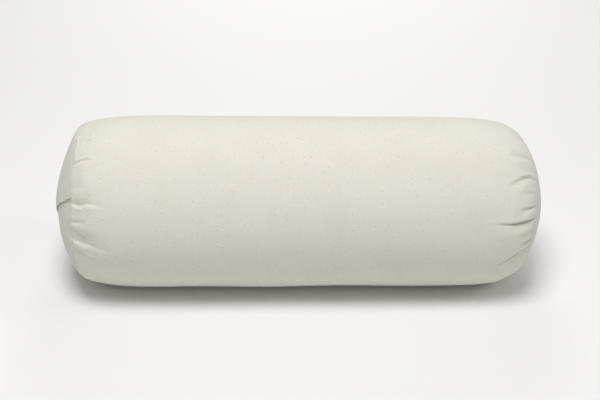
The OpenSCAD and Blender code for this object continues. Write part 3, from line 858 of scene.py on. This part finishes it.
# %% Build the fibre core
CORE_DEPTH = tube_depth("filling")
CORE_START = float(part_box("filling")[0][0])
CORE_COLUMNS = 160
CORE_FACE = np.linspace(0.004, 0.085, 12)
CORE_BODY = np.concatenate([np.linspace(-0.2895, -0.24, 22), np.linspace(-0.22, 0.22, 24),
                            np.linspace(0.24, 0.288, 22)])
CORE_DOME = np.linspace(0.080, 0.004, 12)
CASE_SPHERE = 0.259
TUFT = 0.0006
CORE_CELL = (0.006, 0.0045)
angles = np.arange(CORE_COLUMNS) * 2 * math.pi / CORE_COLUMNS


def core_row(x, radius):
    return np.concatenate([np.full((CORE_COLUMNS, 1), x), around(radius, angles)], -1) + AXIS


rows = [core_row(CORE_START + r * r / (2 * CASE_SPHERE), np.full(CORE_COLUMNS, r))
        for r in CORE_FACE]
for x in CORE_BODY:
    tuft = TUFT * np.sin(9 * angles + 130 * x) * np.sin(5 * angles - 70 * x)
    pressed = pressed_radius(np.full(CORE_COLUMNS, x), angles, CORE_DEPTH, CORE_ROOM)
    rows.append(core_row(x, pressed + tuft))
rows += [end_point(np.full(CORE_COLUMNS, r), angles, 1, CORE_DEPTH) for r in CORE_DOME]
core_end = float(end_point(np.zeros(1), np.zeros(1), 1, CORE_DEPTH)[0, 0])
points = rest_on_floor(np.stack(rows), CORE_DEPTH)
length = np.arange(len(points)) * CORE_CELL[0]
girth = np.arange(CORE_COLUMNS + 1) * CORE_CELL[1]
uv = np.stack(np.meshgrid(length, girth, indexing="ij"), -1)
core = grid_panel("fibre_core", points, uv, wrap=True,
                  pole=((core_end, 0, AXIS_HEIGHT), (length[-1], 0)))
core.data.update()
mend = bmesh.new()
mend.from_mesh(core.data)
bmesh.ops.holes_fill(mend, edges=[e for e in mend.edges if e.is_boundary], sides=0)
bmesh.ops.recalc_face_normals(mend, faces=mend.faces)
mend.to_mesh(core.data)
mend.free()
print("fibre core: %d faces" % len(core.data.polygons))

# %% [markdown]
# ## Thread
#
# Hundreds of stitches follow the hems and seams. They could be modelled one by one or drawn in
# a bump map, but thread stands proud of the cloth and catches light, so each is a real little
# arch. Geometry Nodes lay them out: a line is cut into equal lengths, and one arch is put at
# each cut, turned along the line with its back away from the cloth. The line carries the
# cloth's outward direction as an attribute.

# %% The stitching tree
STITCH_PITCH = 0.0036
STITCH_SHARE = 0.8
THREAD_RADIUS = 0.00025
STITCH_UNEVEN = 0.12
ARCH_DIP, ARCH_TOP = -1.6, 2.4


def stitch_tree():
    tree = bpy.data.node_groups.new("row of stitches", "GeometryNodeTree")
    face = tree.interface
    for label, kind in (("Line", "NodeSocketGeometry"), ("Pitch", "NodeSocketFloat"),
                        ("Share", "NodeSocketFloat"), ("Thread radius", "NodeSocketFloat"),
                        ("Unevenness", "NodeSocketFloat"), ("Thread", "NodeSocketMaterial")):
        face.new_socket(label, in_out="INPUT", socket_type=kind)
    face.new_socket("Stitches", in_out="OUTPUT", socket_type="NodeSocketGeometry")

    def node(kind, inputs=None, **settings):
        """A node given as an input stands for its first output."""
        made = tree.nodes.new(kind)
        for key, value in settings.items():
            setattr(made, key, value)
        for key, value in (inputs or {}).items():
            value = value.outputs[0] if isinstance(value, bpy.types.Node) else value
            if isinstance(value, bpy.types.NodeSocket):
                tree.links.new(value, made.inputs[key])
            else:
                made.inputs[key].default_value = value
        return made

    def maths(operation, first, second):
        return node("ShaderNodeMath", {0: first, 1: second}, operation=operation)

    given = node("NodeGroupInput").outputs
    radius = given["Thread radius"]
    line = node("GeometryNodeMeshToCurve", {0: given["Line"]})
    cut = node("GeometryNodeResampleCurve", {"Curve": line, "Length": given["Pitch"]},
               mode="LENGTH")
    half = maths("MULTIPLY", given["Pitch"], given["Share"])
    dip = maths("MULTIPLY", radius, ARCH_DIP)
    start, end = (node("ShaderNodeCombineXYZ", {"X": maths("MULTIPLY", half, sign), "Z": dip})
                  for sign in (-0.5, 0.5))
    top = node("ShaderNodeCombineXYZ", {"Z": maths("MULTIPLY", radius, ARCH_TOP)})
    arch = node("GeometryNodeCurveQuadraticBezier",
                {"Resolution": 6, "Start": start, "Middle": top, "End": end})
    ring = node("GeometryNodeCurvePrimitiveCircle", {"Resolution": 6, "Radius": radius},
                mode="RADIUS")
    thread = node("GeometryNodeCurveToMesh",
                  {"Fill Caps": True, "Curve": arch, "Profile Curve": ring})

    outward = node("GeometryNodeInputNamedAttribute", {"Name": "outward"},
                   data_type="FLOAT_VECTOR")
    up = node("FunctionNodeAlignRotationToVector", {"Vector": outward}, axis="Z")
    along = node("FunctionNodeAlignRotationToVector",
                 {"Rotation": up, "Vector": node("GeometryNodeInputTangent")},
                 axis="X", pivot_axis="Z")
    size = node("FunctionNodeRandomValue",
                {"Seed": 5, "Min": maths("SUBTRACT", 1, given["Unevenness"]),
                 "Max": (1, 1, 1)}, data_type="FLOAT_VECTOR")
    place = node("GeometryNodeInstanceOnPoints",
                 {"Points": cut, "Instance": thread, "Rotation": along, "Scale": size})
    real = node("GeometryNodeRealizeInstances", {0: place})
    sewn = node("GeometryNodeSetMaterial", {"Geometry": real, "Material": given["Thread"]})
    node("NodeGroupOutput", {0: sewn})
    return tree


STITCHES = stitch_tree()
print("stitching tree has %d nodes" % len(STITCHES.nodes))


# %% Sew along a line
def sew(name, lines, material, closed=False):
    """A plain mesh of stitches. Each line is its points and the cloth's outward directions."""
    edges, first = [], 0
    for points, _ in lines:
        count = len(points)
        edges += [(first + i, first + i + 1) for i in range(count - 1)]
        edges += [(first + count - 1, first)] if closed else []
        first += count
    line = bpy.data.meshes.new(name + "_line")
    line.from_pydata(np.concatenate([points for points, _ in lines]).tolist(), edges, [])
    facing = line.attributes.new("outward", "FLOAT_VECTOR", "POINT")
    outward = np.concatenate([directions for _, directions in lines]).astype(np.float32)
    facing.data.foreach_set("vector", outward.ravel())
    guide = show(name + "_line", line)
    rows = guide.modifiers.new("stitches", "NODES")
    rows.node_group = STITCHES
    chosen = {"Pitch": STITCH_PITCH, "Share": STITCH_SHARE, "Thread radius": THREAD_RADIUS,
              "Unevenness": STITCH_UNEVEN, "Thread": material}
    for socket in STITCHES.interface.items_tree:
        if socket.in_out == "INPUT" and socket.name in chosen:
            rows[socket.identifier] = chosen[socket.name]
    bpy.context.view_layer.update()
    done = guide.evaluated_get(bpy.context.evaluated_depsgraph_get())
    mesh = bpy.data.meshes.new_from_object(done)
    mesh.name = name
    bpy.data.objects.remove(guide)
    bpy.data.meshes.remove(line)
    mesh.polygons.foreach_set("use_smooth", [True] * len(mesh.polygons))
    print("%s: %d faces" % (name, len(mesh.polygons)))
    return show(name, mesh)


# %% [markdown]
# ## Materials as sums
#
# A procedural material is arithmetic on patterns. To write it as arithmetic, a small class
# wraps a socket, so that + - * / add Math nodes, and one method adds any other node. Values
# that are the same all over are typed straight into the shader's sockets.

# %% Arithmetic on sockets
class Pattern:
    def __init__(self, tree, socket=None):
        self.tree, self.socket = tree, socket

    def via(self, kind, output=0, settings=None, **sockets):
        """Adds a node; sockets are named with _ for a space, or in_3 for the fourth."""
        node = self.tree.nodes.new(kind)
        for key, value in (settings or {}).items():
            setattr(node, key, value)
        for key, value in sockets.items():
            target = (node.inputs[int(key[3:])] if key.startswith("in_")
                      else node.inputs[key.replace("_", " ")])
            if isinstance(value, Pattern):
                self.tree.links.new(value.socket, target)
            else:
                target.default_value = value
        return Pattern(self.tree, node.outputs[output])

    def output(self, which):
        """Another output of the same node."""
        return Pattern(self.tree, self.socket.node.outputs[which])

    def math(self, operation, *values):
        return self.via("ShaderNodeMath", 0, {"operation": operation},
                        **{"in_%d" % i: v for i, v in enumerate(values)})

    def __add__(self, other):
        return self.math("ADD", self, other)

    def __sub__(self, other):
        return self.math("SUBTRACT", self, other)

    def __rsub__(self, other):
        return self.math("SUBTRACT", other, self)

    def __mul__(self, other):
        return self.math("MULTIPLY", self, other)

    def __truediv__(self, other):
        return self.math("DIVIDE", self, other)

    __radd__, __rmul__ = __add__, __mul__

    def sine(self):
        return self.math("SINE", self)

    def bump(self, strength, relief):
        """A normal map's vector, for a surface with this as its height."""
        return self.via("ShaderNodeBump", 0, None, Strength=strength, Distance=relief,
                        Height=self)

    def ramp(self, low, high):
        """0 below low and 1 above high, smoothly."""
        return self.via("ShaderNodeMapRange", 0, {"interpolation_type": "SMOOTHSTEP"},
                        Value=self, From_Min=low, From_Max=high)

    def tint(self, dark, light):
        """A colour between two, as this goes from 0 to 1."""
        return self.via("ShaderNodeMix", 2, {"data_type": "RGBA"}, in_0=self,
                        in_6=(*dark, 1), in_7=(*light, 1))

    def stretched(self, scale):
        return self.via("ShaderNodeMapping", 0, None, Vector=self, Scale=scale)

    def noise(self, scale, detail=2.0, roughness=0.5):
        return self.via("ShaderNodeTexNoise", 0, None, Vector=self, Scale=scale,
                        Detail=detail, Roughness=roughness)


def new_material(name, base, roughness, sheen=0.0, metallic=0.0):
    material = bpy.data.materials.new(name)
    material.use_nodes = True
    tree = material.node_tree
    shader = tree.nodes["Principled BSDF"]
    plain = {"Base Color": (*base, 1), "Roughness": roughness, "Metallic": metallic,
             "Sheen Weight": sheen, "Sheen Roughness": 0.5,
             "Specular IOR Level": 0.25 if metallic == 0 else 0.5}
    for key, value in plain.items():
        shader.inputs[key].default_value = value
    material.diffuse_color = (*base, 1)
    return material, Pattern(tree), shader


def feed(shader, **values):
    for name, value in values.items():
        target = shader.inputs[name.replace("_", " ")]
        value.tree.links.new(value.socket, target)


# %% [markdown]
# ## Woven cloth
#
# Canvas and muslin are both plain weave: each weft thread goes over one warp thread and under
# the next. Two sine waves across the UV map's metres, taken with opposite signs on neighbouring
# threads, make that checker of small humps. Unbleached cotton also has threads that are thicker
# in places, and dark crumbs of seed husk.

# %% A plain weave
HUSK = (0.20, 0.135, 0.075, 1)


def woven(name, dark, light, thread_pitch, relief, specks, roughness, sheen):
    material, start, shader = new_material(name, light, roughness, sheen)
    cloth = start.via("ShaderNodeUVMap", 0, {"uv_map": "cloth"})
    along = cloth.via("ShaderNodeSeparateXYZ", 0, None, Vector=cloth)
    across = along.output(1)
    wander = cloth.noise(60.0, 1.0) * thread_pitch
    turn = 2 * math.pi / thread_pitch
    warp = ((along + wander) * turn).sine()
    weft = ((across + wander) * turn).sine()
    humps = warp * weft * 0.5 + 0.5
    slub_along = cloth.stretched((36, 900, 1)).noise(1.0, 3.0, 0.6)
    slub_across = cloth.stretched((900, 36, 1)).noise(1.0, 3.0, 0.6)
    slubs = (slub_along + slub_across) * 0.5
    patches = cloth.noise(22.0, 3.0, 0.6)
    grain = cloth.noise(700.0, 2.0, 0.8).ramp(0.34, 0.66)
    shade = slubs.ramp(0.3, 0.7) * 0.24 + patches.ramp(0.3, 0.7) * 0.16 + grain * 0.60
    colour = shade.tint(dark, light)
    if specks:
        cells = cloth.via("ShaderNodeTexVoronoi", 0, {"voronoi_dimensions": "2D"},
                          Vector=cloth, Scale=1 / specks)
        chosen = cells.via("ShaderNodeSeparateColor", 0, None, Color=cells.output("Color"))
        weight = chosen.output(1)
        size = weight * (0.00035 / specks) + 0.0004 / specks
        crumb = (1 - (cells / size).ramp(0.4, 1.0)) * chosen.ramp(0.62, 0.64)
        crumb = crumb * (weight * 0.55 + 0.16)
        colour = colour.via("ShaderNodeMix", 2, {"data_type": "RGBA"}, in_0=crumb,
                            in_6=colour, in_7=HUSK)
    height = humps * 0.5 + slubs * 0.9 + grain * 0.25
    feed(shader, Base_Color=colour, Normal=height.bump(0.55, relief),
         Roughness=slubs * 0.12 + (roughness - 0.06))
    return material


canvas = woven("natural_canvas", (0.652, 0.626, 0.552), (0.770, 0.747, 0.686),
               0.0007, 0.00024, 0.0075, 0.88, 0.10)
muslin = woven("plain_muslin", (0.70, 0.66, 0.56), (0.82, 0.79, 0.70),
               0.0005, 0.00014, 0.035, 0.9, 0.06)
label_satin = woven("label_satin", (0.78, 0.78, 0.76), (0.88, 0.88, 0.86),
                    0.00035, 0.00006, 0, 0.45, 0.15)
print("cloths:", [m.name for m in (canvas, muslin, label_satin)])


# %% [markdown]
# ## Thread, fibre, plastic and metal
#
# These pieces have no threads to follow, so their patterns read Object coordinates. Thread is
# two strands twisted together, which a wave at a slant shows. Loose fibre is soft, streaky
# noise. Zip plastic has a faint orange peel, and the slider's cast metal is brushed and slightly
# stained where fingers polish it.

# %% Plainer finishes
def object_space(start):
    return start.via("ShaderNodeTexCoord", 3)


def plain_finish(name, dark, light, scale, roughness, relief, sheen=0.0, metallic=0.0,
                 stretch=(1, 1, 1)):
    material, start, shader = new_material(name, light, roughness, sheen, metallic)
    place = object_space(start).stretched(stretch)
    fine = place.noise(scale, 3.0, 0.6)
    broad = place.noise(scale / 9, 2.0)
    colour = (fine * 0.6 + broad * 0.4).ramp(0.35, 0.65).tint(dark, light)
    feed(shader, Base_Color=colour, Normal=fine.bump(0.5, relief),
         Roughness=broad * 0.2 + (roughness - 0.1))
    return material


def thread_finish():
    material, start, shader = new_material("cotton_thread", (0.72, 0.69, 0.60), 0.75, 0.2)
    place = object_space(start)
    twist = place.via("ShaderNodeTexWave", 1, {"bands_direction": "DIAGONAL"}, Vector=place,
                      Scale=900.0, Distortion=1.5)
    colour = twist.tint((0.56, 0.52, 0.42), (0.74, 0.71, 0.62))
    feed(shader, Base_Color=colour, Normal=twist.bump(0.6, 0.00006))
    return material


thread = thread_finish()
fibre = plain_finish("cotton_fibre", (0.66, 0.62, 0.53), (0.80, 0.77, 0.69), 240.0, 0.95,
                     0.002, 0.3, 0.0, (0.35, 1, 1))
plastic = plain_finish("zip_plastic", (0.30, 0.29, 0.27), (0.36, 0.35, 0.33), 900.0, 0.42,
                       0.00003)
metal = plain_finish("cast_zip_metal", (0.52, 0.51, 0.49), (0.68, 0.67, 0.65), 700.0, 0.38,
                     0.00004, 0.0, 1.0, (1, 6, 1))


# %% [markdown]
# ## Sewing the hems and seams
#
# The outer hem's row shows as a faint dotted line across the mouth end. The end seams and the
# long seam are sewn from inside, so their thread is hidden, but it is there. A line's outward
# direction is found from the same surface a centimetre further out.

# %% Thread along the hems
OUTWARD = 0.01
HEM_MARGIN, THREAD_LIFT = 0.004, 0.00012


def hem_line(edge, side, rise):
    b = side * edge + HEM_ROW
    half = math.sqrt((end_shape(-1)[0] - HEM_MARGIN) ** 2 - b * b)
    a = np.linspace(-half, half, 160)
    b = np.full_like(a, b)
    r, angle = flap_place(a, b, side)
    height = rise(a, b) + THREAD_LIFT
    low, high = (end_point(r, angle, -1, -height - out) for out in (0, OUTWARD))
    return low, (high - low) / OUTWARD


outer_hem = sew("outer_hem_thread", [hem_line(OUTER_EDGE, 1, outer_rise)], thread)
inner_hem = sew("inner_hem_thread", [hem_line(INNER_EDGE, -1, inner_rise)], thread)


# %% Thread along the seams
LONG_SEAM_DEPTH, LONG_SEAM_REACH = 0.0024, 0.283


def seam_line(x, angle, depth):
    low, high = (surface_point(x, angle, depth - out) for out in (0, OUTWARD))
    return low, (high - low) / OUTWARD


def ring_line(end, u, depth):
    angle = np.linspace(0, 2 * math.pi, 360, endpoint=False)
    return seam_line(np.full_like(angle, end * (SEAM_X - u)), angle, depth)


mouth_seam = sew("mouth_seam_thread", [ring_line(-1, 0.002, 0.0048)], thread, closed=True)
closed_seam = sew("closed_seam_thread", [ring_line(1, 0.002, 0.0046)], thread, closed=True)
case_seams = sew("case_seam_thread", [ring_line(end, 0.0065, CASE_DEPTH + 0.0026)
                                      for end in (-1, 1)], thread, closed=True)
x = np.linspace(-LONG_SEAM_REACH, LONG_SEAM_REACH, 200)
long_seam = sew("long_seam_thread",
                [seam_line(x, np.full_like(x, LONG_SEAM), LONG_SEAM_DEPTH)], thread)


# %% [markdown]
# ## Which finish goes where
#
# Pieces made here stand for their CAD nodes; the others keep their CAD shape and take a
# finish. Each piece made here rides on the pillow; the CAD's own pieces, the zip's slider and its
# pull among them, are not attached to anything.

# %% Assign the finishes
def finish(piece, material):
    piece.data.materials.clear()
    piece.data.materials.append(material)


def cad_finish(node, material):
    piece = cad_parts[node]
    if not piece.material_slots:
        piece.data.materials.append(material)
    for spot in piece.material_slots:
        spot.link = "OBJECT"
        spot.material = material


PIECES = [
    (cover_tube, "cover_tube", canvas, "cover_canvas"),
    (closed_end, "cover_end_panel", canvas, "cover_canvas"),
    (outer_flap, "mouth_outer_flap", canvas, "cover_canvas"),
    (inner_flap, "mouth_inner_flap", canvas, "cover_canvas"),
    (care_label, "care_label", label_satin, "label_tape"),
    (outer_hem, "outer_hem_stitches", thread, "thread"),
    (inner_hem, "inner_hem_stitches", thread, "thread"),
    (mouth_seam, "mouth_end_stitches", thread, "thread"),
    (closed_seam, "closed_end_stitches", thread, "thread"),
    (long_seam, "long_seam_stitches", thread, "thread"),
    (case_tube, "case_tube", muslin, "case_muslin"),
    (case_end, "case_end_panel", muslin, "case_muslin"),
    (case_seams, "case_end_stitches", thread, "thread"),
    (core, "filling", fibre, "filling_fibre"),
]
for piece, node, material, slot in PIECES:
    finish(piece, material)
    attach(piece, "pillow")
    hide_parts(node)

# %% Finish the CAD's own pieces
muslin_object = plain_finish("muslin_panel", (0.70, 0.66, 0.56), (0.82, 0.79, 0.70), 1400.0,
                             0.9, 0.00012, 0.06)
tape_object = plain_finish("zip_tape_weave", (0.60, 0.57, 0.48), (0.74, 0.71, 0.62), 1200.0,
                           0.8, 0.0001, 0.04)
for node in ("case_front_panel", "case_rear_panel"):
    cad_finish(node, muslin_object)
for node in ("zip_front_tape", "zip_rear_tape"):
    cad_finish(node, tape_object)
cad_finish("zip_tape_stitches", thread)
for node in ("zip_front_teeth", "zip_rear_teeth"):
    cad_finish(node, plastic)
for node in ("zip_top_stop", "zip_bottom_stop", "zip_slider", "zip_pull"):
    cad_finish(node, metal)
left = set(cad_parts) - {node for _, node, _, _ in PIECES}
print("nodes shown as the CAD model has them:", sorted(left))

# %% [markdown]
# ## The flaps' flat sizes
#
# The cover and the inner pillow are full and firm. The flaps and label are single sheets held
# by their seams. The flat size each flap was cut to is printed: a flap is what a straight cut
# leaves of the end's disc, with its hem and seam allowance.

SEAM_ALLOWANCE = 0.010
mouth_ring, mouth_sphere, _ = end_shape(-1)
flat_ring = math.asin(mouth_ring / mouth_sphere) * mouth_sphere + SEAM_ALLOWANCE


def segment_area(radius, edge):
    """What a straight cut leaves of a disc, on the side of its middle."""
    return (math.pi * radius ** 2 - radius ** 2 * math.acos(edge / radius)
            + edge * math.sqrt(radius ** 2 - edge ** 2))


for piece, edge in ((outer_flap, -OUTER_EDGE), (inner_flap, INNER_EDGE)):
    cut = edge + HEM
    area = segment_area(flat_ring, cut)
    2 * flat_ring
    flat_ring + cut
    print("%s: cut from %.3f x %.3f m, %.4f m2"
          % (piece.name, 2 * flat_ring, flat_ring + cut, area))


# %% [markdown]
# ## Floor and light
#
# A pale floor and a near-white room fill the shadows, and one large soft lamp overhead, a
# little to the front, gives the pillow its slow fall from light top to grey underside. A second
# lamp whitens the floor behind, and a weak one at the side reaches the closed end.

# %% Set the stage
floor_mesh = bpy.data.meshes.new("floor")
floor_mesh.from_pydata([(-6, -6, 0), (6, -6, 0), (6, 6, 0), (-6, 6, 0)], [], [(0, 1, 2, 3)])
floor = show("floor", floor_mesh)
floor_paint, _, _ = new_material("pale_floor", (0.86, 0.86, 0.86), 0.9)
finish(floor, floor_paint)

world = bpy.data.worlds.new("soft room")
bpy.context.scene.world = world
world.use_nodes = True
world.node_tree.nodes["Background"].inputs["Color"].default_value = (1, 0.982, 0.945, 1)
world.node_tree.nodes["Background"].inputs["Strength"].default_value = 0.35


def soft_lamp(name, place, aim, size, power):
    lamp = bpy.data.lights.new(name, "AREA")
    lamp.shape, lamp.size, lamp.energy = "DISK", size, power
    made = show(name, lamp)
    made.location = place
    made.rotation_euler = (Vector(place) - Vector(aim)).to_track_quat("Z", "Y").to_euler()


soft_lamp("overhead lamp", (-0.24, -0.70, 2.1), (0, 0, 0.1), 0.9, 31)
soft_lamp("rear lamp", (0.1, 1.6, 1.5), (0.1, 2.0, 0), 1.0, 15)
soft_lamp("side fill", (2.0, -0.3, 1.5), (0.3, 0, 0.1), 0.8, 6)
bpy.context.scene.view_settings.view_transform = "Standard"
